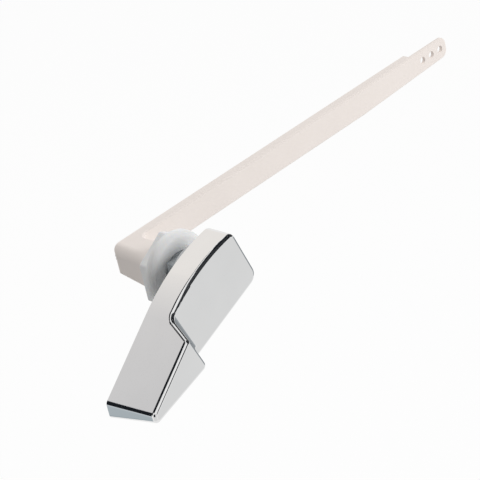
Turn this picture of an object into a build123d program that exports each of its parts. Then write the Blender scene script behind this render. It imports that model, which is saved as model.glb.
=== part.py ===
"""Front-mount cistern lever: a chromed handle on a spindle, its wall bushing and nut, and the flush arm.

The spindle lies along Y. Y = 0 is the outer face of the tank wall, -Y is the room and +Y the inside of the tank.
The arm reaches along +X at rest and +Z is up. All sizes are in millimetres and degrees.
"""

import math
import os

from build123d import *

# Wall bushing and seat washer: the square shoulder fills the tank hole and the shank passes through it
SQUARE_SIDE = 15.4
SQUARE_LENGTH = 6.5
SQUARE_CLEARANCE = 0.05
SEAT_WASHER_THICK = 1.0
SEAT_MARGIN = 1.3
FLANGE_OVERHANG = 0.2
FLANGE_THICK = 1.6
SHANK_END = 20.0
SHANK_CHAMFER = 0.6

# Nut, with the room left for the tank wall in front of it
WALL_ROOM = 7.0
NUT_ACROSS_FLATS = 27.0
NUT_HEX_THICK = 4.1
NUT_FLANGE_THICK = 3.5
NUT_FLANGE_R = 15.6
NUT_EDGE = 0.8

# Spindle and the screw that holds the arm on it
SPINDLE_R = 4.0
SPINDLE_FLATS = 6.2
RUNNING_CLEARANCE = 0.05
SOCKET_CLEARANCE = 0.02
END_PLAY = 0.3
SCREW_R = 2.0
SCREW_HEAD_R = 3.8
SCREW_HEAD_THICK = 2.4
SCREW_SLOT = 1.0
SCREW_ENGAGEMENT = 6.0
TAP_RUNOUT = 1.5

# Flush arm, a channel moulded in one piece with its socket block
ARM_LENGTH = 203.2
ARM_HEIGHT = 11.6
ARM_RISE = 0.4
ARM_DEPTH = 4.5
ARM_WALL = 1.5
BLOCK_WIDTH = 11.0
BLOCK_LENGTH = 18.7
BLOCK_END_WALL = 5.2
BLOCK_DRAFT = 5.5
BLOCK_DROP = 0.6
BLOCK_SIDE_STEP = 1.0
BLOCK_TOP_CORNER = 4.0
BLOCK_LOW_CORNER = 1.2
BLOCK_BACK_CORNER = 2.0
ELBOW_FILLET = 4.0
ARM_EDGE = 0.8
TAPER_RUN = 34.0
TONGUE_NECK = 7.1
TONGUE_HEIGHT = 9.4
TONGUE_END_FLAT = 2.2
CHAIN_HOLE_R = 1.6
CHAIN_HOLE_PITCH = 6.0
CHAIN_HOLES = 3
CHAIN_END_MARGIN = 4.6

# Handle: its outline seen from the front, with the spindle axis at the origin, and its depths
PAD_DEPTH = 12.25
JOG_STEP = 12.55
HANDLE_WALL = 2.0
TOP_ARC_R = 80.0
TOP_SLOPE = 38.7
TOP_BEND_X = -29.0
TOP_BEND_Z = -0.35
PIVOT_END_X = 17.9
PIVOT_END_Z = -6.9
PIVOT_END_LEAN = 72.0
PAD_UNDER_SLOPE = 21.0
PAD_CORNER_TOP = 3.5
PAD_CORNER_LOW = 4.5
JOG_LEAN = 70.0
JOG_AT_PAD_X = -24.6
JOG_SETBACK = 5.8
JOG_Z = -8.0
TIP_REAR_X = -57.2
TIP_REAR_Z = -30.85
TIP_FRONT_X = -55.9
TIP_FRONT_Z = -26.65
UNDER_SLOPE = 16.0
TIP_CORNER_TOP = 2.4
TIP_CORNER_LOW = 2.0
PADDLE_CORNER = 2.2
EDGE_ROUND = 1.5
JOG_FILLET = 4.0

# Inside of the handle, and the bushing's stop tab that two of its ribs meet at the ends of the travel
HUB_R = 7.4
HUB_FACE_WALL = 2.65
RIB_THICK = 1.8
PLAIN_RIB_ANGLES = (200.0, 290.0)
LEVER_TRAVEL = 35.0
STOP_GAP = 0.24
TAB_HUB_GAP = 0.8
TAB_THICK = 2.2
TAB_LENGTH = 4.0
TAB_FROM = 52.0
TAB_TO = 82.0

# Sizes and places that follow from those above
SHANK_R = SQUARE_SIDE / 2
SEAT_WASHER_R = SQUARE_SIDE / math.sqrt(2) + SEAT_MARGIN
FLANGE_R = SEAT_WASHER_R + FLANGE_OVERHANG
FLANGE_BACK = -SEAT_WASHER_THICK
FLANGE_FRONT = FLANGE_BACK - FLANGE_THICK
HANDLE_BACK = FLANGE_FRONT - END_PLAY
BLOCK_FRONT = SHANK_END + END_PLAY
ARM_BACK = BLOCK_FRONT + BLOCK_LENGTH
ARM_FRONT = ARM_BACK - ARM_DEPTH
ARM_LEFT = -BLOCK_WIDTH / 2
ARM_RIGHT = ARM_LEFT + ARM_LENGTH
BLOCK_RIGHT = ARM_LEFT + BLOCK_WIDTH
ARM_TOP = ARM_HEIGHT / 2 + ARM_RISE
ARM_LOW = ARM_TOP - ARM_HEIGHT
TONGUE_LOW = ARM_TOP - TONGUE_HEIGHT
CHANNEL_END = ARM_RIGHT - CHAIN_END_MARGIN - (CHAIN_HOLES - 1) * CHAIN_HOLE_PITCH - TONGUE_NECK
TAPER_START = CHANNEL_END - TAPER_RUN
SPINDLE_FRONT = HANDLE_BACK - PAD_DEPTH + HUB_FACE_WALL
SPINDLE_END = ARM_BACK - BLOCK_END_WALL
PADDLE_DEPTH = PAD_DEPTH + JOG_STEP
TOP_BEND = (TOP_BEND_X, TOP_BEND_Z)
PIVOT_END = (PIVOT_END_X, PIVOT_END_Z)
JOG_AT_PAD = (JOG_AT_PAD_X, JOG_Z)
JOG_AT_PADDLE = (JOG_AT_PAD_X - JOG_SETBACK, JOG_Z)
TIP_REAR = (TIP_REAR_X, TIP_REAR_Z)
TIP_FRONT = (TIP_FRONT_X, TIP_FRONT_Z)
TAB_INNER_R = HUB_R + TAB_HUB_GAP
STOP_ANGLE = math.degrees(math.asin((RIB_THICK / 2 + STOP_GAP) / TAB_INNER_R))
STOP_RIB_ANGLES = (TAB_TO + STOP_ANGLE, TAB_FROM - LEVER_TRAVEL - STOP_ANGLE)

# Length past the work for cutters, and reach of the half-planes that bound the handle
CUT = 1.0
FAR = 2 * ARM_LENGTH


def front_plane(y):
    """Sketch plane facing the room at the place y: sketch X is X, sketch Y is Z."""
    return Plane(origin=(0, y, 0), x_dir=(1, 0, 0), z_dir=(0, -1, 0))


def along_spindle(sketch, y_from, y_to):
    """Solid of a sketch drawn on the front view, from y_from to y_to."""
    return extrude(front_plane(max(y_from, y_to)) * sketch, amount=abs(y_to - y_from))


def disc(radius, y_from, y_to):
    """Round solid about the spindle axis."""
    return along_spindle(Circle(radius), y_from, y_to)


def square(side):
    """Square about the spindle axis on the front view."""
    return Rectangle(side, side)


def polygon(*points):
    """Face through the points of a view."""
    return make_face(Polyline(*points, close=True))


def polar(radius, angle):
    """Point on the front view at the angle, counted from +X towards +Z."""
    return (radius * math.cos(math.radians(angle)), radius * math.sin(math.radians(angle)))


def sector(inner, outer, start, end):
    """Ring sector between two angles."""
    reach = 2 * outer
    wedge = polygon((0, 0), polar(reach, start), polar(reach, end))
    return (Circle(outer) - Circle(inner)) & wedge


def spindle_section(clearance):
    """Section of the spindle's ends: the round rod with four flats, wider by the clearance all round."""
    return square(SPINDLE_FLATS + 2 * clearance) & Circle(SPINDLE_R + clearance)


def make_bushing():
    """Wall bushing: flange, square shoulder, shank, bore and stop tab."""
    body = disc(FLANGE_R, FLANGE_FRONT, FLANGE_BACK)
    body += along_spindle(square(SQUARE_SIDE), FLANGE_BACK, FLANGE_BACK + SQUARE_LENGTH)
    shank = disc(SHANK_R, FLANGE_BACK, SHANK_END)
    body += chamfer(shank.edges().sort_by(Axis.Y)[-1], SHANK_CHAMFER)
    tab = sector(TAB_INNER_R, TAB_INNER_R + TAB_THICK, TAB_FROM, TAB_TO)
    body += along_spindle(tab, FLANGE_FRONT - TAB_LENGTH, FLANGE_FRONT)
    return body - disc(SPINDLE_R + RUNNING_CLEARANCE, FLANGE_FRONT - CUT, SHANK_END + CUT)


def make_seat_washer():
    """Soft washer between the flange and the tank wall."""
    hole = square(SQUARE_SIDE + 2 * SQUARE_CLEARANCE)
    return along_spindle(Circle(SEAT_WASHER_R) - hole, FLANGE_BACK, 0)


def make_nut():
    """Hexagon nut, a corner upwards, with a round washer face towards the wall."""
    hex_front = WALL_ROOM + NUT_FLANGE_THICK
    hex_back = hex_front + NUT_HEX_THICK
    hexagon = RegularPolygon(NUT_ACROSS_FLATS / 2, 6, major_radius=False, rotation=30)
    body = along_spindle(hexagon, hex_front, hex_back)
    washer = disc(NUT_FLANGE_R, WALL_ROOM, hex_front)
    body += fillet(washer.edges().sort_by(Axis.Y)[0], NUT_EDGE)
    return body - disc(SHANK_R + RUNNING_CLEARANCE, WALL_ROOM - CUT, hex_back + CUT)


def make_spindle():
    """Round spindle with four flats at each end and a tapped hole for the arm screw."""
    body = disc(SPINDLE_R, HANDLE_BACK, BLOCK_FRONT)
    body += along_spindle(spindle_section(0), SPINDLE_FRONT, HANDLE_BACK)
    body += along_spindle(spindle_section(0), BLOCK_FRONT, SPINDLE_END)
    return body - disc(SCREW_R, SPINDLE_END - SCREW_ENGAGEMENT - TAP_RUNOUT, SPINDLE_END + CUT)


def make_arm_screw():
    """Slotted screw through the back of the socket block into the spindle."""
    head_middle = ARM_BACK + SCREW_HEAD_THICK / 2
    head_back = ARM_BACK + SCREW_HEAD_THICK
    head = disc(SCREW_HEAD_R, ARM_BACK, head_back)
    head = fillet(head.edges().sort_by(Axis.Y)[-1], SCREW_HEAD_THICK / 2)
    head -= along_spindle(Rectangle(2 * SCREW_HEAD_R, SCREW_SLOT), head_middle, head_back + CUT)
    return head + disc(SCREW_R, SPINDLE_END - SCREW_ENGAGEMENT, ARM_BACK)


def arm_outline():
    """Front view of the arm from the spindle axis on: straight, then tapered from below to a rounded tongue."""
    side = polygon(
        (0, ARM_TOP),
        (0, ARM_LOW),
        (TAPER_START, ARM_LOW),
        (ARM_RIGHT, TONGUE_LOW),
        (ARM_RIGHT, ARM_TOP),
    )
    end_corners = side.vertices().group_by(Axis.X)[-1]
    return fillet(end_corners, (TONGUE_HEIGHT - TONGUE_END_FLAT) / 2)


def channel_outline():
    """Front view of the arm's hollow, one wall inside its edges, and of all that lies past the channel's end."""
    taper_share = TAPER_RUN / (ARM_RIGHT - TAPER_START)
    end_low = ARM_LOW + taper_share * (TONGUE_LOW - ARM_LOW)
    hollow = polygon(
        (BLOCK_RIGHT, ARM_TOP - ARM_WALL),
        (BLOCK_RIGHT, ARM_LOW + ARM_WALL),
        (TAPER_START, ARM_LOW + ARM_WALL),
        (CHANNEL_END, end_low + ARM_WALL),
        (CHANNEL_END, ARM_TOP - ARM_WALL),
    )
    return hollow + Pos(CHANNEL_END + FAR / 2, 0) * square(FAR)


def socket_block():
    """Left part of the socket block, whose end and underside lean outwards towards the bushing."""
    spread = BLOCK_LENGTH * math.tan(math.radians(BLOCK_DRAFT))
    right = BLOCK_RIGHT - BLOCK_SIDE_STEP
    low = ARM_LOW - BLOCK_DROP
    plan = polygon((right, ARM_BACK), (ARM_LEFT, ARM_BACK), (ARM_LEFT - spread, BLOCK_FRONT), (right, BLOCK_FRONT))
    side = polygon((ARM_BACK, ARM_TOP), (ARM_BACK, low), (BLOCK_FRONT, low - spread), (BLOCK_FRONT, ARM_TOP))
    body = extrude(plan, amount=FAR, both=True) & extrude(Plane.YZ * side, amount=FAR, both=True)
    body = fillet(body.faces().sort_by(Axis.X)[0].edges().sort_by(Axis.Z)[-1], BLOCK_TOP_CORNER)
    body = fillet(body.faces().sort_by(Axis.X)[0].edges().sort_by(Axis.Z)[0], BLOCK_LOW_CORNER)
    back_corner = plan.vertices().sort_by_distance((ARM_LEFT, ARM_BACK))[0]
    return body & extrude(fillet(back_corner, BLOCK_BACK_CORNER), amount=FAR, both=True)


def make_arm():
    """Flush arm: socket block, channel that tapers to a flat tongue, and chain holes."""
    body = along_spindle(arm_outline(), ARM_FRONT, ARM_BACK)
    body -= along_spindle(channel_outline(), ARM_FRONT + ARM_WALL, ARM_BACK + CUT)
    block_side = Pos(BLOCK_RIGHT / 2, ARM_RISE) * Rectangle(BLOCK_RIGHT, ARM_HEIGHT)
    body += along_spindle(block_side, BLOCK_FRONT, ARM_BACK)
    elbow = Vector(BLOCK_RIGHT, ARM_FRONT, ARM_RISE)
    body = fillet(body.edges().filter_by(Axis.Z).sort_by_distance(elbow)[0], ELBOW_FILLET)
    arm_front = body.faces().sort_by_distance(Vector(ARM_RIGHT / 2, ARM_FRONT, ARM_RISE))[0]
    body = fillet(arm_front.edges().sort_by(Axis.X)[1:], ARM_EDGE) + socket_block()
    body -= along_spindle(spindle_section(SOCKET_CLEARANCE), BLOCK_FRONT - CUT, SPINDLE_END)
    body -= disc(SCREW_R + SOCKET_CLEARANCE, BLOCK_FRONT, ARM_BACK + CUT)
    for index in range(CHAIN_HOLES):
        x = ARM_RIGHT - CHAIN_END_MARGIN - index * CHAIN_HOLE_PITCH
        hole = Pos(x, (ARM_TOP + TONGUE_LOW) / 2) * Circle(CHAIN_HOLE_R)
        body -= along_spindle(hole, ARM_FRONT - CUT, ARM_FRONT + ARM_WALL + CUT)
    return body


def below_top(inset):
    """Region under the handle's top line, a straight run that bends into a long arc, moved down by inset."""
    along = polar(1, TOP_SLOPE)
    bend = (TOP_BEND[0] + inset * along[1], TOP_BEND[1] - inset * along[0])
    arc = JernArc(bend, along, TOP_ARC_R - inset, -TOP_SLOPE)
    left = (bend[0] - FAR * along[0], bend[1] - FAR * along[1])
    return make_face([Line(left, bend), arc, Polyline(arc @ 1, (FAR, -FAR), (-FAR, -FAR), left)])


def pad_sides(inset):
    """Region left of the handle's pivot end and above the pad's underside, moved inwards by inset."""
    end_up = polar(FAR, 180 - PIVOT_END_LEAN)
    under_left = polar(-FAR, PAD_UNDER_SLOPE)
    top = (PIVOT_END[0] + end_up[0], PIVOT_END[1] + end_up[1])
    low = (PIVOT_END[0] + under_left[0], PIVOT_END[1] + under_left[1])
    sides = polygon(top, PIVOT_END, low, (low[0], top[1]))
    return offset(sides, -inset, kind=Kind.INTERSECTION) if inset else sides


def on_handle(point, depth):
    """Place on the handle from its front view and its depth in front of the handle's back."""
    return Vector(point[0], HANDLE_BACK - depth, point[1])


def leaning_plane(back, front, angle, inset):
    """Plane through two places and along a line at the angle, facing out of the handle and moved in by inset."""
    direction = polar(1, angle)
    along = Vector(direction[0], 0, direction[1])
    normal = along.cross(front - back).normalized()
    return Plane(origin=back - normal * inset, x_dir=along, z_dir=normal)


def jog_plane(inset):
    """Wall by which the paddle steps out of the pad."""
    back = on_handle(JOG_AT_PAD, PAD_DEPTH)
    front = on_handle(JOG_AT_PADDLE, PADDLE_DEPTH)
    return leaning_plane(back, front, 180 - JOG_LEAN, inset)


def pad_block(inset, back):
    """The block over the spindle, up to the jog."""
    outline = pad_sides(inset) & below_top(inset)
    if not inset:
        upper, lower = outline.vertices().sort_by(Axis.X)[-2:].sort_by(Axis.Y)[::-1]
        outline = fillet(upper, PAD_CORNER_TOP)
        outline = fillet(outline.vertices().sort_by_distance(lower)[0], PAD_CORNER_LOW)
    block = along_spindle(outline, HANDLE_BACK - PAD_DEPTH + inset, back)
    return split(block, jog_plane(inset), keep=Keep.TOP)


def paddle_block(inset, back):
    """The finger paddle, bounded by the jog, a drafted underside and the end face."""
    tip_back = on_handle(TIP_REAR, 0)
    tip_front = on_handle(TIP_FRONT, PADDLE_DEPTH)
    block = along_spindle(below_top(inset), HANDLE_BACK - PADDLE_DEPTH + inset, back)
    block = split(block, jog_plane(inset), keep=Keep.BOTTOM)
    block = split(block, leaning_plane(tip_back, tip_front, UNDER_SLOPE, inset), keep=Keep.BOTTOM)
    return split(block, leaning_plane(tip_back, tip_front, -90, inset), keep=Keep.BOTTOM)


def rim_edges(body):
    """Front edges of pad and paddle and the top edge between them."""
    front_faces = body.faces().filter_by(Axis.Y).sort_by(Axis.Y)
    pad_edges = front_faces[1].edges().filter_by(lambda edge: (edge @ 0.5).X > JOG_AT_PAD[0] / 2)
    top_faces = body.faces().filter_by(lambda face: face.normal_at(face.center()).Z > 0.5)
    behind_rim = HANDLE_BACK - PAD_DEPTH + EDGE_ROUND
    across_top = top_faces.edges().filter_by(lambda edge: (edge @ 0.5).Y < behind_rim)
    rim = across_top.filter_by(lambda edge: abs((edge @ 0).X - (edge @ 1).X) > EDGE_ROUND)
    for edge in front_faces[0].edges() + pad_edges:
        if not any(edge.is_same(other) for other in rim):
            rim.append(edge)
    return rim


def handle_skin():
    """Outside of the handle with its rounded edges."""
    body = (pad_block(0, HANDLE_BACK) + paddle_block(0, HANDLE_BACK)).clean()
    jog_foot = body.edges().sort_by_distance(on_handle(JOG_AT_PAD, PAD_DEPTH))[0]
    body = fillet(jog_foot, JOG_FILLET)
    tip_edges = body.faces().sort_by(Axis.X)[0].edges().sort_by(Axis.Z)
    body = fillet(tip_edges[-1], TIP_CORNER_TOP)
    tip_middle = (on_handle(TIP_REAR, 0) + on_handle(TIP_FRONT, PADDLE_DEPTH)) / 2
    body = fillet(body.edges().sort_by_distance(tip_middle)[0], TIP_CORNER_LOW)
    jog_low = body.faces().sort_by(Axis.Y)[0].vertices().sort_by(Axis.X)[-1]
    meeting = body.edges().sort_by_distance(jog_low)[:3]
    body = fillet(meeting.sort_by(Axis.Y)[-1], PADDLE_CORNER)
    return fillet(rim_edges(body), EDGE_ROUND)


def make_handle():
    """Chromed handle: a thin shell, open towards the wall, with a hub and ribs inside."""
    hub_front = HANDLE_BACK - PAD_DEPTH + HANDLE_WALL
    pad_room = pad_block(HANDLE_WALL, HANDLE_BACK + CUT)
    for angle in STOP_RIB_ANGLES + PLAIN_RIB_ANGLES:
        rib = Rot(0, 0, angle) * Pos(FAR / 2, 0) * Rectangle(FAR, RIB_THICK)
        pad_room -= along_spindle(rib, hub_front, HANDLE_BACK)
    pad_room -= disc(HUB_R, hub_front, HANDLE_BACK)
    room = pad_room + paddle_block(HANDLE_WALL, HANDLE_BACK + CUT)
    socket = along_spindle(spindle_section(SOCKET_CLEARANCE), SPINDLE_FRONT, HANDLE_BACK + CUT)
    return handle_skin() - room - socket


MAKERS = {
    "handle": make_handle,
    "spindle": make_spindle,
    "mounting_bushing": make_bushing,
    "seat_washer": make_seat_washer,
    "mounting_nut": make_nut,
    "flush_arm": make_arm,
    "arm_screw": make_arm_screw,
}

if __name__ == "__main__":
    os.makedirs("parts", exist_ok=True)
    for name, make in MAKERS.items():
        solid = make()
        export_step(solid, f"parts/{name}.step")
        print(name, round(solid.volume), solid.is_valid, len(solid.solids()))
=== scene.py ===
"""Looks of a cistern lever: numpy surfaces, procedural finishes and a small studio round the frame.

Everything is in metres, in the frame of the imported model: the spindle lies along Y, the wall's outer
face is Y = 0, the flush arm reaches along +X and +Z is up.
"""

import logging
import math
from dataclasses import dataclass
from enum import Enum

import bpy
import numpy as np
from mathutils import Matrix, Vector


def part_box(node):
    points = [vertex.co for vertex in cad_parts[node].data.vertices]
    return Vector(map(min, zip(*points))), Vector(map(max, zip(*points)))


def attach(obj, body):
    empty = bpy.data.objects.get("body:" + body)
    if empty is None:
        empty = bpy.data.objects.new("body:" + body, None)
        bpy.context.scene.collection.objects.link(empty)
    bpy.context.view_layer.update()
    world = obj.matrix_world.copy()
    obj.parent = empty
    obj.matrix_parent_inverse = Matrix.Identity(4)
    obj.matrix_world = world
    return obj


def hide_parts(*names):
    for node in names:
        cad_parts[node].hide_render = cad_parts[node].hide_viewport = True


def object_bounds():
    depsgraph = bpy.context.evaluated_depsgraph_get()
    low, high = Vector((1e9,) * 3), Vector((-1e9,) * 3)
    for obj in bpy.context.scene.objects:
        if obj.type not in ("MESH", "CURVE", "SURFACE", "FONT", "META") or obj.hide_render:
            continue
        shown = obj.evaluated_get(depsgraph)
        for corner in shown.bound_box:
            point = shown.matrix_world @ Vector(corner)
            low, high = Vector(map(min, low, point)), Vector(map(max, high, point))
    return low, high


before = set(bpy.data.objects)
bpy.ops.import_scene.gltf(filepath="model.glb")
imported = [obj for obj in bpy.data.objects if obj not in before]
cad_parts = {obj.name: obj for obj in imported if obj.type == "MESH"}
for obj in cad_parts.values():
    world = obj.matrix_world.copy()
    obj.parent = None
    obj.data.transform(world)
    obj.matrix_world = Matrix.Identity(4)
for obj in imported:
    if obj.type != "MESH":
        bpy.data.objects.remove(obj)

log = logging.getLogger("cistern_lever")

MM = 0.001
CAD_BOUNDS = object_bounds()

Tone = tuple[float, float, float]

# Noise values between these two are spread over a range, and the rest is cut off at its ends
NOISE_LOW = 0.3
NOISE_HIGH = 0.7

# Slope of a thread's flanks against a plain triangle wave
THREAD_STEEPNESS = 1.7

# The round of a sharp corner is this many times smaller than that of the other edges
SHARPER = 10

SQUARE_CORNERS = np.array([(-1, -1, 0), (1, -1, 0), (1, 1, 0), (-1, 1, 0)])


class Body(Enum):
    """Bodies of the frame that new pieces ride on."""

    WALL_FITTING = "wall_fitting"
    NUT = "nut"


class Slot(Enum):
    """Material slots of the record."""

    CHROME = "chrome_plate"
    SPINDLE = "spindle_steel"
    SCREW = "screw_steel"
    IVORY = "ivory_plastic"
    WHITE = "white_plastic"
    # Slot of the bushing's darker grey, which is painted shade for the gap between the nut and the
    # handle
    PAINTED_SHADE_GREY = "grey_plastic"
    RUBBER = "washer_rubber"


class Section(Enum):
    """Shape of one ring of a moulded piece, as the number of its sides."""

    SQUARE = 4
    HEXAGON = 6


@dataclass
class NodeSheet:
    """Node tree of one material or world, with short calls to add and join nodes."""

    tree: bpy.types.NodeTree

    def add(self, kind: str, **settings: object) -> bpy.types.Node:
        """Adds a node and sets what is named.

        Args:
            kind: Blender's node type.
            settings: Attributes of the node.

        Returns:
            The new node.
        """
        node = self.tree.nodes.new(kind)
        for name, value in settings.items():
            setattr(node, name, value)
        return node

    def join(self, source: bpy.types.NodeSocket, target: bpy.types.NodeSocket) -> None:
        """Links an output to an input.

        Args:
            source: The output.
            target: The input.
        """
        self.tree.links.new(source, target)

    def noise(self, scale: float, detail: float, roughness: float = 0.5) -> bpy.types.NodeSocket:
        """Noise on Object coordinates.

        Args:
            scale: Features in one metre.
            detail: Octaves of finer noise.
            roughness: Weight of the finer octaves.

        Returns:
            The noise value, about 0.5 on average.
        """
        place = self.add("ShaderNodeTexCoord")
        texture = self.add("ShaderNodeTexNoise")
        texture.inputs["Scale"].default_value = scale
        texture.inputs["Detail"].default_value = detail
        texture.inputs["Roughness"].default_value = roughness
        self.join(place.outputs["Object"], texture.inputs["Vector"])
        return texture.outputs["Fac"]

    def spread(self, value: bpy.types.NodeSocket, low: float, high: float) -> bpy.types.NodeSocket:
        """Carries the middle of a noise value over to a range.

        Args:
            value: Noise between 0 and 1.
            low: Result where the noise is low.
            high: Result where the noise is high.

        Returns:
            The value in the new range.
        """
        ranged = self.add("ShaderNodeMapRange")
        ranged.inputs["From Min"].default_value = NOISE_LOW
        ranged.inputs["From Max"].default_value = NOISE_HIGH
        ranged.inputs["To Min"].default_value = low
        ranged.inputs["To Max"].default_value = high
        self.join(value, ranged.inputs["Value"])
        return ranged.outputs["Result"]

    def tones(self, value: bpy.types.NodeSocket, low: Tone, high: Tone) -> bpy.types.NodeSocket:
        """Mixes two tones by a value.

        Args:
            value: Share of the second tone.
            low: First tone, linear red, green and blue.
            high: Second tone.

        Returns:
            The mixed colour.
        """
        mix = self.add("ShaderNodeMix", data_type="RGBA")
        mix.inputs["A"].default_value = (*low, 1.0)
        mix.inputs["B"].default_value = (*high, 1.0)
        self.join(value, mix.inputs["Factor"])
        return mix.outputs["Result"]

    def bump(
        self, height: bpy.types.NodeSocket, strength: float, distance: float
    ) -> bpy.types.NodeSocket:
        """Turns a height into a bent normal.

        Args:
            height: Height between 0 and 1.
            strength: Share of the full effect.
            distance: Height of 1 in metres.

        Returns:
            The bent normal.
        """
        node = self.add("ShaderNodeBump")
        node.inputs["Strength"].default_value = strength
        node.inputs["Distance"].default_value = distance
        self.join(height, node.inputs["Height"])
        return node.outputs["Normal"]


def new_material(slot: Slot) -> tuple[bpy.types.Material, NodeSheet, bpy.types.Node]:
    """Makes a material with one Principled shader.

    Args:
        slot: The record's slot, whose name it takes.

    Returns:
        The material, its node sheet and its shader.
    """
    material = bpy.data.materials.new(slot.value)
    material.use_nodes = True
    shader = material.node_tree.nodes["Principled BSDF"]
    return material, NodeSheet(material.node_tree), shader


def studio_material(name: str) -> tuple[bpy.types.Material, NodeSheet]:
    """Makes an empty material whose glow is seen but isn't sampled as a lamp.

    Args:
        name: Name of the material.

    Returns:
        The material and its node sheet.
    """
    material = bpy.data.materials.new(name)
    material.use_nodes = True
    material.cycles.emission_sampling = "NONE"
    sheet = NodeSheet(material.node_tree)
    sheet.tree.nodes.clear()
    return material, sheet


@dataclass(frozen=True)
class PlatedMetal:
    """Bright plating: a mirror with faint clouds in its gloss and the waves of a polished casting."""

    slot: Slot
    tone: Tone
    clouded_tone: Tone
    roughness: float
    clouded_roughness: float
    waviness: float
    cloud_scale: float = 60.0
    grain_scale: float = 900.0
    wave_scale: float = 110.0
    wave_height: float = 0.1 * MM

    def make(self) -> bpy.types.Material:
        """Builds the material.

        Returns:
            The material.
        """
        material, sheet, shader = new_material(self.slot)
        shader.inputs["Metallic"].default_value = 1.0
        clouds = sheet.spread(sheet.noise(self.cloud_scale, detail=4.0), 0.0, 1.0)
        sheet.join(sheet.tones(clouds, self.tone, self.clouded_tone), shader.inputs["Base Color"])
        grain = sheet.noise(self.grain_scale, detail=3.0)
        gloss = sheet.spread(grain, self.roughness, self.clouded_roughness)
        sheet.join(gloss, shader.inputs["Roughness"])
        waves = sheet.noise(self.wave_scale, detail=2.0)
        sheet.join(sheet.bump(waves, self.waviness, self.wave_height), shader.inputs["Normal"])
        return material


@dataclass(frozen=True)
class TurnedSteel:
    """Machined steel: fine tool marks in planes across the spindle axis."""

    slot: Slot
    tone: Tone
    roughness: float
    marks_in_a_metre: float
    mark_bend: float = 2.0
    mark_detail: float = 3.0
    mark_strength: float = 0.25
    mark_height: float = 0.02 * MM
    wear_scale: float = 400.0
    smoother: float = 0.06
    rougher: float = 0.08

    def make(self) -> bpy.types.Material:
        """Builds the material.

        Returns:
            The material.
        """
        material, sheet, shader = new_material(self.slot)
        shader.inputs["Metallic"].default_value = 1.0
        shader.inputs["Base Color"].default_value = (*self.tone, 1.0)
        place = sheet.add("ShaderNodeTexCoord")
        marks = sheet.add("ShaderNodeTexWave", wave_type="BANDS", bands_direction="Y")
        marks.inputs["Scale"].default_value = self.marks_in_a_metre
        marks.inputs["Distortion"].default_value = self.mark_bend
        marks.inputs["Detail"].default_value = self.mark_detail
        sheet.join(place.outputs["Object"], marks.inputs["Vector"])
        wear = sheet.noise(self.wear_scale, detail=4.0)
        gloss = sheet.spread(wear, self.roughness - self.smoother, self.roughness + self.rougher)
        sheet.join(gloss, shader.inputs["Roughness"])
        cut = sheet.bump(marks.outputs["Fac"], self.mark_strength, self.mark_height)
        sheet.join(cut, shader.inputs["Normal"])
        return material


@dataclass(frozen=True)
class MouldedPlastic:
    """Moulded plastic: uneven tone, the fine grain of the mould and, where asked for, a little depth."""

    slot: Slot
    tone: Tone
    faded_tone: Tone
    roughness: float
    depth: float
    grain: float
    depth_by_colour: Tone = (1.0, 0.8, 0.6)
    depth_reach: float = 1.0 * MM
    blotch_scale: float = 45.0
    gloss_scale: float = 250.0
    smoother: float = 0.05
    rougher: float = 0.07
    grain_scale: float = 1100.0
    grain_height: float = 0.05 * MM

    def make(self) -> bpy.types.Material:
        """Builds the material.

        Returns:
            The material.
        """
        material, sheet, shader = new_material(self.slot)
        shader.inputs["Subsurface Weight"].default_value = self.depth
        shader.inputs["Subsurface Radius"].default_value = self.depth_by_colour
        shader.inputs["Subsurface Scale"].default_value = self.depth_reach
        blotches = sheet.spread(sheet.noise(self.blotch_scale, detail=5.0, roughness=0.6), 0.0, 1.0)
        sheet.join(sheet.tones(blotches, self.tone, self.faded_tone), shader.inputs["Base Color"])
        wear = sheet.noise(self.gloss_scale, detail=3.0)
        gloss = sheet.spread(wear, self.roughness - self.smoother, self.roughness + self.rougher)
        sheet.join(gloss, shader.inputs["Roughness"])
        grain = sheet.noise(self.grain_scale, detail=2.0)
        sheet.join(sheet.bump(grain, self.grain, self.grain_height), shader.inputs["Normal"])
        return material


@dataclass(frozen=True)
class SoftRubber:
    """Matt seal rubber with a dusty bloom."""

    slot: Slot
    tone: Tone
    bloom: Tone
    roughness: float = 0.75
    grain: float = 0.4
    dust_scale: float = 300.0
    grain_scale: float = 1800.0
    grain_height: float = 0.05 * MM

    def make(self) -> bpy.types.Material:
        """Builds the material.

        Returns:
            The material.
        """
        material, sheet, shader = new_material(self.slot)
        shader.inputs["Roughness"].default_value = self.roughness
        dust = sheet.spread(sheet.noise(self.dust_scale, detail=5.0, roughness=0.65), 0.0, 1.0)
        sheet.join(sheet.tones(dust, self.tone, self.bloom), shader.inputs["Base Color"])
        grain = sheet.noise(self.grain_scale, detail=3.0)
        sheet.join(sheet.bump(grain, self.grain, self.grain_height), shader.inputs["Normal"])
        return material


CHROME = PlatedMetal(
    Slot.CHROME,
    tone=(0.79, 0.79, 0.79),
    clouded_tone=(0.765, 0.765, 0.765),
    roughness=0.05,
    clouded_roughness=0.09,
    waviness=0.05,
)
SPINDLE_STEEL = TurnedSteel(
    Slot.SPINDLE, tone=(0.58, 0.58, 0.59), roughness=0.32, marks_in_a_metre=900.0
)
SCREW_STEEL = TurnedSteel(
    Slot.SCREW, tone=(0.66, 0.66, 0.67), roughness=0.22, marks_in_a_metre=1400.0
)
IVORY = MouldedPlastic(
    Slot.IVORY,
    tone=(0.90, 0.83, 0.785),
    faded_tone=(0.88, 0.81, 0.765),
    roughness=0.65,
    depth=0.0,
    grain=0.06,
)
WHITE = MouldedPlastic(
    Slot.WHITE,
    tone=(0.87, 0.87, 0.87),
    faded_tone=(0.85, 0.855, 0.855),
    roughness=0.45,
    depth=0.15,
    grain=0.06,
)
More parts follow.
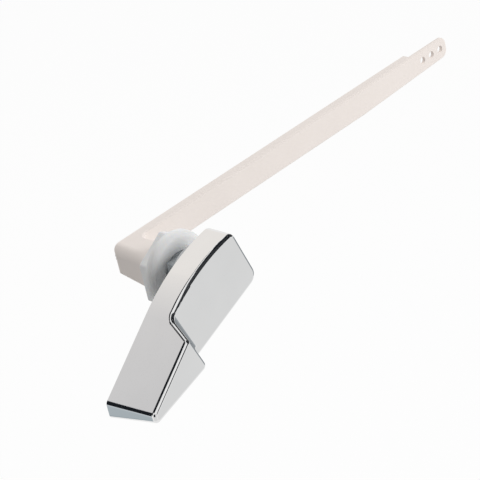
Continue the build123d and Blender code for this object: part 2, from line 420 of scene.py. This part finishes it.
# Painted shade: a darker grey for the bushing, standing in for the shade between the nut and the handle
# that the lamps don't cast
PAINTED_SHADE_GREY = MouldedPlastic(
    Slot.PAINTED_SHADE_GREY,
    tone=(0.42, 0.45, 0.47),
    faded_tone=(0.40, 0.43, 0.45),
    roughness=0.5,
    depth=0.08,
    grain=0.06,
)
RUBBER = SoftRubber(Slot.RUBBER, tone=(0.60, 0.61, 0.62), bloom=(0.66, 0.67, 0.68))

# Tones of the studio's cards
BLACK = (0.012, 0.014, 0.018)
DIM = (0.06, 0.063, 0.068)
INK = (0.1, 0.12, 0.14)
SLATE = (0.32, 0.385, 0.42)
MID_GREY = (0.54, 0.57, 0.59)
COOL_GREY = (0.62, 0.625, 0.645)
MIST = (0.68, 0.73, 0.76)
PALE = (0.835, 0.84, 0.84)
CREAM = (0.99, 0.955, 0.92)
WARM = (0.995, 0.96, 0.925)


def rounded_chain(corners: np.ndarray, radii: np.ndarray, steps: int) -> np.ndarray:
    """Rounds the corners of a closed chain of points with tangent arcs.

    At a corner with half angle h and radius r the arc starts r / tan(h) before the corner and its
    centre lies r / sin(h) along the bisector; its points are the spherical mix of the two radii to
    the tangent points.

    Args:
        corners: Points, shape (corners, 2).
        radii: Radius at each corner.
        steps: Points on each arc.

    Returns:
        Points of all arcs in order, shape (corners * steps, 2).
    """
    back = np.roll(corners, 1, axis=0) - corners
    ahead = np.roll(corners, -1, axis=0) - corners
    back = back / np.linalg.norm(back, axis=1, keepdims=True)
    ahead = ahead / np.linalg.norm(ahead, axis=1, keepdims=True)
    half = np.arccos(np.clip((back * ahead).sum(axis=1), -1.0, 1.0)) / 2
    middle = (back + ahead) / np.linalg.norm(back + ahead, axis=1, keepdims=True)
    centre = corners + middle * (radii / np.sin(half))[:, None]
    reach = (radii / np.tan(half))[:, None]
    first = corners + back * reach - centre
    last = corners + ahead * reach - centre
    turn = (math.pi - 2 * half)[:, None]
    share = np.linspace(0.0, 1.0, steps)[None, :]
    from_first = (np.sin((1 - share) * turn) / np.sin(turn))[..., None]
    from_last = (np.sin(share * turn) / np.sin(turn))[..., None]
    arcs = centre[:, None] + from_first * first[:, None] + from_last * last[:, None]
    return arcs.reshape(-1, 2)


def between(start: np.ndarray, end: np.ndarray, count: int) -> np.ndarray:
    """Even points between two others, without those two.

    Args:
        start: First point.
        end: Last point.
        count: Points between them.

    Returns:
        Points, shape (count, 2).
    """
    return np.linspace(start, end, count + 2)[1:-1]


def full_turn(columns: int) -> np.ndarray:
    """Even angles once round an axis.

    Args:
        columns: Number of angles.

    Returns:
        Angles in radians, shape (1, columns).
    """
    return np.linspace(0.0, 2 * math.pi, columns, endpoint=False)[None, :]


def sided_radius(angle: np.ndarray, section: Section, apothem: float, corner: float) -> np.ndarray:
    """Polar radius of a regular polygon with rounded corners and the middle of one side at angle 0.

    Within one side, at the angle b from the side's middle, the flat lies at apothem / cos(b). Past
    the tangent point the radius is that of a circle of the corner's radius about a point on the line
    to the corner.

    Args:
        angle: Angles about the axis in radians.
        section: Number of sides.
        apothem: Half the distance across the flats.
        corner: Radius of the corners.

    Returns:
        Radius at each angle.
    """
    half_side = math.pi / section.value
    from_middle = (angle + half_side) % (2 * half_side) - half_side
    flat = apothem / np.cos(from_middle)
    centre = (apothem - corner) / math.cos(half_side)
    from_corner = half_side - np.abs(from_middle)
    inside = np.maximum(corner**2 - (centre * np.sin(from_corner)) ** 2, 0.0)
    arc = centre * np.cos(from_corner) + np.sqrt(inside)
    tangent = math.atan((apothem - corner) * math.tan(half_side) / apothem)
    return np.where(np.abs(from_middle) < tangent, flat, arc)


def thread_height(angle: np.ndarray, along: np.ndarray, pitch: float) -> np.ndarray:
    """Height of a left-hand thread between its root, 0, and its crest, 1.

    The phase is the way along the axis in pitches less the turn about it; a triangle wave of the
    phase is steepened and clipped, which gives flat crests and roots with slanted flanks.

    Args:
        angle: Angles about the axis in radians.
        along: Places along the axis.
        pitch: Way along the axis in one turn.

    Returns:
        Height at each place.
    """
    phase = (along / pitch - angle / (2 * math.pi)) % 1.0
    triangle = 1.0 - np.abs(2.0 * phase - 1.0)
    height = np.clip((triangle - 0.5) * THREAD_STEEPNESS + 0.5, 0.0, 1.0)
    return height * height * (3 - 2 * height)


def run_out(along: np.ndarray, start: float, end: float, pitch: float) -> np.ndarray:
    """Share of a thread's full depth, which fades over half a pitch at both ends.

    Args:
        along: Places along the axis.
        start: Where the thread starts.
        end: Where the thread ends.
        pitch: Way along the axis in one turn.

    Returns:
        Share at each place.
    """
    pitches = np.minimum(along - start, end - along) / pitch
    return np.clip(2 * pitches, 0.0, 1.0)


@dataclass
class Surface:
    """Vertices and four-sided faces of one or more grids."""

    vertices: np.ndarray
    faces: np.ndarray

    @classmethod
    def grid(cls, points: np.ndarray, close_rows: bool, close_columns: bool) -> "Surface":
        """Joins neighbours of a grid of points by four-sided faces.

        Args:
            points: Places, shape (rows, columns, 3).
            close_rows: Joins the last row to the first.
            close_columns: Joins the last column to the first.

        Returns:
            The surface.
        """
        rows, columns = points.shape[:2]
        index = np.arange(rows * columns).reshape(rows, columns)
        if close_rows:
            index = np.vstack([index, index[:1]])
        if close_columns:
            index = np.hstack([index, index[:, :1]])
        corners = [index[:-1, :-1], index[:-1, 1:], index[1:, 1:], index[1:, :-1]]
        return cls(points.reshape(-1, 3), np.stack(corners, axis=-1).reshape(-1, 4))

    def __add__(self, other: "Surface") -> "Surface":
        """Puts two surfaces into one."""
        faces = np.vstack([self.faces, other.faces + len(self.vertices)])
        return Surface(np.vstack([self.vertices, other.vertices]), faces)

    def piece(
        self, name: str, body: Body, slot: Slot, material: bpy.types.Material
    ) -> bpy.types.Object:
        """Makes the surface a smooth piece that rides on a body.

        Args:
            name: Name of the piece.
            body: Body that it moves with.
            slot: The record's slot for its finish; not used.
            material: Its finish.

        Returns:
            The new object.
        """
        mesh = bpy.data.meshes.new(name)
        mesh.vertices.add(len(self.vertices))
        mesh.vertices.foreach_set("co", self.vertices.astype(np.float32).ravel())
        mesh.loops.add(self.faces.size)
        mesh.loops.foreach_set("vertex_index", self.faces.astype(np.int32).ravel())
        mesh.polygons.add(len(self.faces))
        sides = self.faces.shape[1]
        mesh.polygons.foreach_set("loop_start", np.arange(0, self.faces.size, sides, dtype=np.int32))
        mesh.polygons.foreach_set("use_smooth", np.ones(len(self.faces), dtype=bool))
        mesh.update(calc_edges=True)
        mesh.validate()
        mesh.materials.append(material)
        made = bpy.data.objects.new(name, mesh)
        bpy.context.scene.collection.objects.link(made)
        weighted = made.modifiers.new("even_flats", "WEIGHTED_NORMAL")
        weighted.keep_sharp = True
        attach(made, body.value)
        log.info("%s: %d faces", name, len(self.faces))
        return made


def about_spindle(radius: np.ndarray, along: np.ndarray, angle: np.ndarray) -> np.ndarray:
    """Places from polar sizes about the spindle axis.

    Args:
        radius: Distance from the axis.
        along: Place along Y.
        angle: Angle from +X towards +Z.

    Returns:
        Places, with one more axis of three numbers.
    """
    radius, along, angle = np.broadcast_arrays(radius, along, angle)
    return np.stack([radius * np.cos(angle), along, radius * np.sin(angle)], axis=-1)


def dress(node: str, material: bpy.types.Material) -> None:
    """Gives a shape of the frame its finish.

    Args:
        node: Name of the frame's node.
        material: Its finish.
    """
    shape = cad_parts[node]
    shape.data.materials.clear()
    shape.data.materials.append(material)
    log.info("%s: shape of the frame", node)


@dataclass
class WallFitting:
    """Bushing with its flange, square shoulder and threaded shank, and the seat washer."""

    bore: float = 4.05 * MM
    flange_thick: float = 1.6 * MM
    flange_round: float = 0.45 * MM
    edge_round: float = 0.25 * MM
    shoulder_half: float = 7.7 * MM
    shoulder_length: float = 6.5 * MM
    shoulder_corner: float = 0.9 * MM
    thread_root: float = 6.95 * MM
    thread_crest: float = 7.67 * MM
    thread_pitch: float = 2.0 * MM
    tab_inner: float = 8.2 * MM
    tab_outer: float = 10.4 * MM
    tab_from: float = 52.0
    tab_to: float = 82.0
    tab_round: float = 0.35 * MM
    columns: int = 288
    arc_steps: int = 5
    rows_in_pitch: int = 16

    def __post_init__(self) -> None:
        """Takes the places of the faces from the frame."""
        low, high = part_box("mounting_bushing")
        self.tab_front = low.y
        self.shank_end = high.y
        self.flange_radius = high.x
        self.flange_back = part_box("seat_washer")[0].y
        self.flange_front = self.flange_back - self.flange_thick
        self.shoulder_end = self.flange_back + self.shoulder_length

    def bushing(self) -> Surface:
        """Closed surface of the bushing: rings about the spindle that go round its section once.

        The section is a rounded chain. Its rings are round, apart from the shoulder's, which are
        scaled by a square's polar radius, and the shank's, which stand out from the root by the
        thread's height.

        Returns:
            The surface.
        """
        angle = full_turn(self.columns)
        sharp = self.edge_round / SHARPER
        shank_tip = (self.thread_root, self.shank_end, self.edge_round)
        section = [
            (self.bore, self.flange_front, self.edge_round),
            (self.flange_radius, self.flange_front, self.flange_round),
            (self.flange_radius, self.flange_back, self.edge_round),
            (self.shoulder_half, self.flange_back, sharp),
            (self.shoulder_half, self.shoulder_end, self.edge_round),
            (self.thread_root, self.shoulder_end, sharp),
            shank_tip,
            (self.bore, self.shank_end, self.edge_round),
        ]
        sizes = np.array(section)
        chain = rounded_chain(sizes[:, :2], sizes[:, 2], self.arc_steps)
        squared = np.repeat(np.isclose(sizes[:, 0], self.shoulder_half), self.arc_steps)
        shank_length = self.shank_end - self.shoulder_end
        rows = round(shank_length / self.thread_pitch * self.rows_in_pitch)
        shank_at = section.index(shank_tip) * self.arc_steps
        shank = between(chain[shank_at - 1], chain[shank_at], rows)
        chain = np.insert(chain, shank_at, shank, axis=0)
        squared = np.insert(squared, shank_at, np.zeros(rows, dtype=bool))
        threaded = np.zeros(len(chain), dtype=bool)
        threaded[shank_at : shank_at + rows] = True
        reach, along = chain[:, :1], chain[:, 1:]
        square = sided_radius(angle, Section.SQUARE, self.shoulder_half, self.shoulder_corner)
        radius = np.where(squared[:, None], reach * square / self.shoulder_half, reach)
        fade = run_out(along, self.shoulder_end, self.shank_end, self.thread_pitch)
        height = thread_height(angle, along, self.thread_pitch) * fade
        radius = radius + threaded[:, None] * height * (self.thread_crest - self.thread_root)
        return Surface.grid(about_spindle(radius, along, angle), close_rows=True, close_columns=True)

    def stop_tab(self) -> Surface:
        """Stop tab on the flange: a rounded block whose long sides follow circles about the spindle.

        The block's outline is a rounded rectangle of arc length and radius. It is carried from inside
        the flange to the tab's front, drawn in by a quarter circle there, and shrunk to its middle
        line to close the end.

        Returns:
            The surface.
        """
        middle_radius = (self.tab_inner + self.tab_outer) / 2
        middle_angle = math.radians(self.tab_from + self.tab_to) / 2
        half_wide = math.radians(self.tab_to - self.tab_from) / 2 * middle_radius
        half_thick = (self.tab_outer - self.tab_inner) / 2
        half = np.array([half_wide, half_thick])
        corners = SQUARE_CORNERS[:, :2] * half
        outline = rounded_chain(corners, np.full(len(corners), self.tab_round), self.arc_steps)
        quarter = np.linspace(0.0, math.pi / 2, self.arc_steps)
        drawn_in = np.concatenate([[0.0], self.tab_round * (1 - np.cos(quarter)), [half_thick]])
        front = self.tab_front + self.tab_round * (1 - np.sin(quarter))
        along = np.concatenate([[self.flange_front + self.edge_round], front, [self.tab_front]])
        flat = outline[None] * (1 - drawn_in[:, None] / half)[:, None]
        radius = middle_radius + flat[..., 1]
        angle = middle_angle + flat[..., 0] / middle_radius
        points = about_spindle(radius, along[:, None], angle)
        return Surface.grid(points, close_rows=False, close_columns=True)

    def build(self) -> None:
        """Makes and dresses the pieces that stay on the wall."""
        surface = self.bushing() + self.stop_tab()
        # The bushing's dark grey finish is painted shade for the gap between the nut and the handle
        bushing = surface.piece("threaded_bushing", Body.WALL_FITTING, Slot.PAINTED_SHADE_GREY, PAINTED_SHADE_GREY.make())
        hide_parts("mounting_bushing")
        dress("seat_washer", RUBBER.make())


@dataclass
class MountingNut:
    """Hexagon nut with a round collar towards the wall and a threaded bore."""

    across_flats: float = 27.0 * MM
    collar_thick: float = 3.5 * MM
    collar_round: float = 2.7 * MM
    corner_round: float = 1.3 * MM
    edge_round: float = 0.5 * MM
    bore: float = 7.75 * MM
    groove_depth: float = 0.65 * MM
    thread_pitch: float = 2.0 * MM
    columns: int = 288
    arc_steps: int = 9
    rows_in_pitch: int = 16

    def __post_init__(self) -> None:
        """Takes the places of the faces from the frame."""
        low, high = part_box("mounting_nut")
        self.front = low.y
        self.back = high.y
        self.collar_radius = high.x
        self.collar_back = self.front + self.collar_thick

    def nut(self) -> Surface:
        """Closed surface of the nut, as rings about the spindle that go round its section once.

        The rings are round on the collar, six-sided behind it and cut by the thread in the bore.

        Returns:
            The surface.
        """
        angle = full_turn(self.columns)
        sharp = self.edge_round / SHARPER
        apothem = self.across_flats / 2
        section = [
            (self.bore, self.front, self.edge_round),
            (self.collar_radius, self.front, self.collar_round),
            (self.collar_radius, self.collar_back, sharp),
            (apothem, self.collar_back, sharp),
            (apothem, self.back, self.edge_round),
            (self.bore, self.back, self.edge_round),
        ]
        sizes = np.array(section)
        chain = rounded_chain(sizes[:, :2], sizes[:, 2], self.arc_steps)
        sided = np.repeat(np.isclose(sizes[:, 0], apothem), self.arc_steps)
        rows = round((self.back - self.front) / self.thread_pitch * self.rows_in_pitch)
        chain = np.vstack([chain, between(chain[-1], chain[0], rows)])
        sided = np.concatenate([sided, np.zeros(rows, dtype=bool)])
        in_bore = np.arange(len(chain))[:, None] >= len(chain) - rows
        reach, along = chain[:, :1], chain[:, 1:]
        hexagon = sided_radius(angle, Section.HEXAGON, apothem, self.corner_round)
        radius = np.where(sided[:, None], reach * hexagon / apothem, reach)
        fade = run_out(along, self.front, self.back, self.thread_pitch)
        groove = (1 - thread_height(angle, along, self.thread_pitch)) * fade
        radius = radius + in_bore * groove * self.groove_depth
        return Surface.grid(about_spindle(radius, along, angle), close_rows=True, close_columns=True)

    def build(self) -> None:
        """Makes and dresses the nut."""
        nut = self.nut().piece("collared_nut", Body.NUT, Slot.WHITE, WHITE.make())
        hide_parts("mounting_nut")


class Lever:
    """What turns together: handle, spindle, flush arm and the screw that holds the arm."""

    def build(self) -> None:
        """Dresses the pieces that turn with the handle."""
        dress("handle", CHROME.make())
        dress("spindle", SPINDLE_STEEL.make())
        dress("arm_screw", SCREW_STEEL.make())
        dress("flush_arm", IVORY.make())


def toward(azimuth: float, elevation: float) -> Vector:
    """Unit vector from the object to a place round it.

    Args:
        azimuth: Degrees about +Z; 0 is in front, on the -Y side, and 90 on the +X side.
        elevation: Degrees above the horizon.

    Returns:
        The direction.
    """
    turn = math.radians(azimuth)
    rise = math.radians(elevation)
    level = math.cos(rise)
    return Vector((math.sin(turn) * level, -math.cos(turn) * level, math.sin(rise)))


def facing(place: Vector, target: Vector) -> Matrix:
    """Matrix of a lamp, card or camera whose -Z looks at a target.

    Args:
        place: Where it stands.
        target: What it looks at.

    Returns:
        The matrix.
    """
    turn = (target - place).to_track_quat("-Z", "Y").to_matrix().to_4x4()
    return Matrix.Translation(place) @ turn


def about_own_axis(degrees: float) -> Matrix:
    """Matrix of a turn about the line of sight of a card or camera.

    Args:
        degrees: Angle of the turn.

    Returns:
        The matrix.
    """
    return Matrix.Rotation(math.radians(degrees), 4, "Z")


def four_sided(name: str, corners: np.ndarray, material: bpy.types.Material) -> bpy.types.Object:
    """Makes one flat face.

    Args:
        name: Name of the object.
        corners: Its corners in order, shape (4, 3).
        material: Its finish.

    Returns:
        The new object.
    """
    mesh = bpy.data.meshes.new(name)
    mesh.from_pydata(corners.tolist(), [], [(0, 1, 2, 3)])
    mesh.materials.append(material)
    made = bpy.data.objects.new(name, mesh)
    bpy.context.scene.collection.objects.link(made)
    return made


@dataclass(frozen=True)
class Card:
    """Flat card that only reflections show, graded from its lower to its upper edge.

    Azimuth, elevation and the turn about its own middle are in degrees.
    """

    name: str
    azimuth: float
    elevation: float
    width: float
    height: float
    low_tone: Tone
    high_tone: Tone
    turn: float = 0.0
    distance: float = 0.6

    def build(self, target: Vector) -> None:
        """Makes the card, facing the target.

        Args:
            target: Middle of the object.
        """
        place = facing(target + toward(self.azimuth, self.elevation) * self.distance, target)
        matrix = np.array(place @ about_own_axis(self.turn))
        corners = SQUARE_CORNERS * np.array([self.width, self.height, 0.0]) / 2
        material, sheet = studio_material(self.name)
        tone = sheet.add("ShaderNodeAttribute", attribute_name="tone")
        glow = sheet.add("ShaderNodeEmission")
        output = sheet.add("ShaderNodeOutputMaterial")
        sheet.join(tone.outputs["Color"], glow.inputs["Color"])
        sheet.join(glow.outputs["Emission"], output.inputs["Surface"])
        card = four_sided(self.name, corners @ matrix[:3, :3].T + matrix[:3, 3], material)
        low, high = (*self.low_tone, 1.0), (*self.high_tone, 1.0)
        tones = card.data.color_attributes.new("tone", "FLOAT_COLOR", "POINT")
        tones.data.foreach_set("color", np.array([low, low, high, high], dtype=np.float32).ravel())
        card.visible_camera = False
        card.visible_diffuse = False
        card.visible_shadow = False


@dataclass(frozen=True)
class Softbox:
    """Large soft lamp that reflections don't show."""

    name: str
    azimuth: float
    elevation: float
    size: float
    power: float
    distance: float = 1.2

    def build(self, target: Vector) -> None:
        """Makes the lamp, facing the target.

        Args:
            target: Middle of the object.
        """
        lamp = bpy.data.lights.new(self.name, "AREA")
        lamp.shape = "SQUARE"
        lamp.size = self.size
        lamp.energy = self.power
        made = bpy.data.objects.new(self.name, lamp)
        place = target + toward(self.azimuth, self.elevation) * self.distance
        made.matrix_world = facing(place, target)
        made.visible_glossy = False
        bpy.context.scene.collection.objects.link(made)


@dataclass
class Studio:
    """Pale floor, white surroundings, soft lamps, cards and the camera."""

    target: tuple[float, float, float] = (23.87 * MM, -2.26 * MM, 2.70 * MM)
    camera_azimuth: float = -40.355
    camera_elevation: float = 27.284
    camera_roll: float = -13.146
    camera_distance: float = 799.4 * MM
    lens: float = 156.5
    floor_drop: float = 0.30
    floor_half: float = 6.0
    floor_tone: float = 0.8
    backdrop_share: float = 0.95
    ambient: float = 0.375
    lamps: tuple[Softbox, ...] = (
        Softbox("key_softbox", 39.0, 22.0, size=0.67, power=15.3, distance=1.6),
        Softbox("rear_softbox", 180.0, 50.0, size=0.7, power=5.7),
    )
    cards: tuple[Card, ...] = (
        Card("dark_front", 18.0, 30.5, 1.18, 0.58, BLACK, DIM, turn=90.0),
        Card("dark_right", 78.0, 22.0, 0.9, 0.56, DIM, BLACK),
        Card("dark_overhead_right", 67.9, 66.4, 0.35, 0.66, BLACK, BLACK, turn=48.8, distance=0.604),
        Card("dark_overhead_left", -97.3, 51.4, 0.83, 0.12, BLACK, BLACK, distance=0.695),
        Card("dark_overhead_rear", -115.7, 58.65, 0.74, 0.2, BLACK, BLACK, turn=-5.4, distance=0.71),
        Card("dark_overhead_back", -163.0, 66.0, 0.34, 0.13, BLACK, BLACK, distance=0.66),
        Card("dark_below_camera", -52.0, 0.0, 0.48, 0.44, BLACK, BLACK),
        Card("dark_left", -108.0, 25.0, 0.32, 0.44, BLACK, BLACK),
        Card("dark_back_left", -140.0, 6.0, 0.44, 0.46, BLACK, BLACK),
        Card("grey_behind", -152.0, 41.0, 0.55, 0.47, COOL_GREY, CREAM, turn=90.0, distance=0.78),
        Card("warm_behind", 163.0, 41.0, 0.55, 0.8, WARM, WARM, turn=90.0, distance=0.78),
        Card("grey_front", 40.0, -30.0, 0.3, 0.22, PALE, PALE, distance=0.45),
        Card("pale_low_front", -40.0, -31.0, 0.68, 0.2, PALE, PALE, distance=0.45),
        Card("grey_low_right", 82.0, -24.0, 0.2, 0.56, INK, MID_GREY, turn=90.0, distance=0.45),
        Card("grey_low_left", -146.0, -30.0, 0.4, 0.22, SLATE, MIST, distance=0.42),
    )

    def seen_directly(self, sheet: NodeSheet) -> bpy.types.NodeSocket:
        """Share of rays that see the white surroundings: from the camera, from gloss and through glass.

        Args:
            sheet: Node sheet of the floor or the world.

        Returns:
            1 for those rays and 0 for the rest.
        """
        path = sheet.add("ShaderNodeLightPath")
        first = sheet.add("ShaderNodeMath", operation="MAXIMUM")
        second = sheet.add("ShaderNodeMath", operation="MAXIMUM")
        sheet.join(path.outputs["Is Camera Ray"], first.inputs[0])
        sheet.join(path.outputs["Is Glossy Ray"], first.inputs[1])
        sheet.join(first.outputs[0], second.inputs[0])
        sheet.join(path.outputs["Is Transmission Ray"], second.inputs[1])
        return second.outputs[0]

    def floor(self) -> None:
        """Pale floor, nearly white to the camera and in reflections, with a part left for shadows."""
        height = CAD_BOUNDS[0].z - self.floor_drop
        corners = SQUARE_CORNERS * self.floor_half + np.array([0.0, 0.0, height])
        material, sheet = studio_material("floor")
        matt = sheet.add("ShaderNodeBsdfDiffuse")
        matt.inputs["Color"].default_value = (self.floor_tone,) * 3 + (1.0,)
        glow = sheet.add("ShaderNodeEmission")
        share = sheet.add("ShaderNodeMath", operation="MULTIPLY")
        share.inputs[1].default_value = self.backdrop_share
        mix = sheet.add("ShaderNodeMixShader")
        output = sheet.add("ShaderNodeOutputMaterial")
        sheet.join(self.seen_directly(sheet), share.inputs[0])
        sheet.join(share.outputs[0], mix.inputs[0])
        sheet.join(matt.outputs[0], mix.inputs[1])
        sheet.join(glow.outputs[0], mix.inputs[2])
        sheet.join(mix.outputs[0], output.inputs["Surface"])
        made = four_sided("floor", corners, material)

    def surroundings(self) -> None:
        """White world for what is seen directly, and an even dim light for the rest."""
        world = bpy.data.worlds.new("surroundings")
        world.use_nodes = True
        sheet = NodeSheet(world.node_tree)
        sheet.tree.nodes.clear()
        dim = sheet.add("ShaderNodeBackground")
        dim.inputs["Strength"].default_value = self.ambient
        dim.inputs["Color"].default_value = (1.0, 1.0, 1.0, 1.0)
        white = sheet.add("ShaderNodeBackground")
        white.inputs["Color"].default_value = (1.0, 1.0, 1.0, 1.0)
        mix = sheet.add("ShaderNodeMixShader")
        output = sheet.add("ShaderNodeOutputWorld")
        sheet.join(self.seen_directly(sheet), mix.inputs[0])
        sheet.join(dim.outputs[0], mix.inputs[1])
        sheet.join(white.outputs[0], mix.inputs[2])
        sheet.join(mix.outputs[0], output.inputs["Surface"])
        bpy.context.scene.world = world

    def camera(self) -> None:
        """Camera at the photograph's angle, turned about its own axis as the photograph is."""
        lens = bpy.data.cameras.new("camera")
        lens.lens = self.lens
        made = bpy.data.objects.new("camera", lens)
        target = Vector(self.target)
        place = target + toward(self.camera_azimuth, self.camera_elevation) * self.camera_distance
        made.matrix_world = facing(place, target) @ about_own_axis(self.camera_roll)
        bpy.context.scene.collection.objects.link(made)
        bpy.context.scene.camera = made

    def build(self) -> None:
        """Makes the studio."""
        bpy.context.scene.view_settings.view_transform = "Standard"
        self.floor()
        self.surroundings()
        target = Vector(self.target)
        for item in self.lamps + self.cards:
            item.build(target)
        self.camera()
        log.info("studio: %d lamps and %d cards", len(self.lamps), len(self.cards))


def main() -> None:
    """Builds the pieces and the studio."""
    logging.basicConfig(level=logging.INFO, format="%(name)s: %(message)s")
    WallFitting().build()
    MountingNut().build()
    Lever().build()
    Studio().build()


if __name__ == "__main__":
    main()
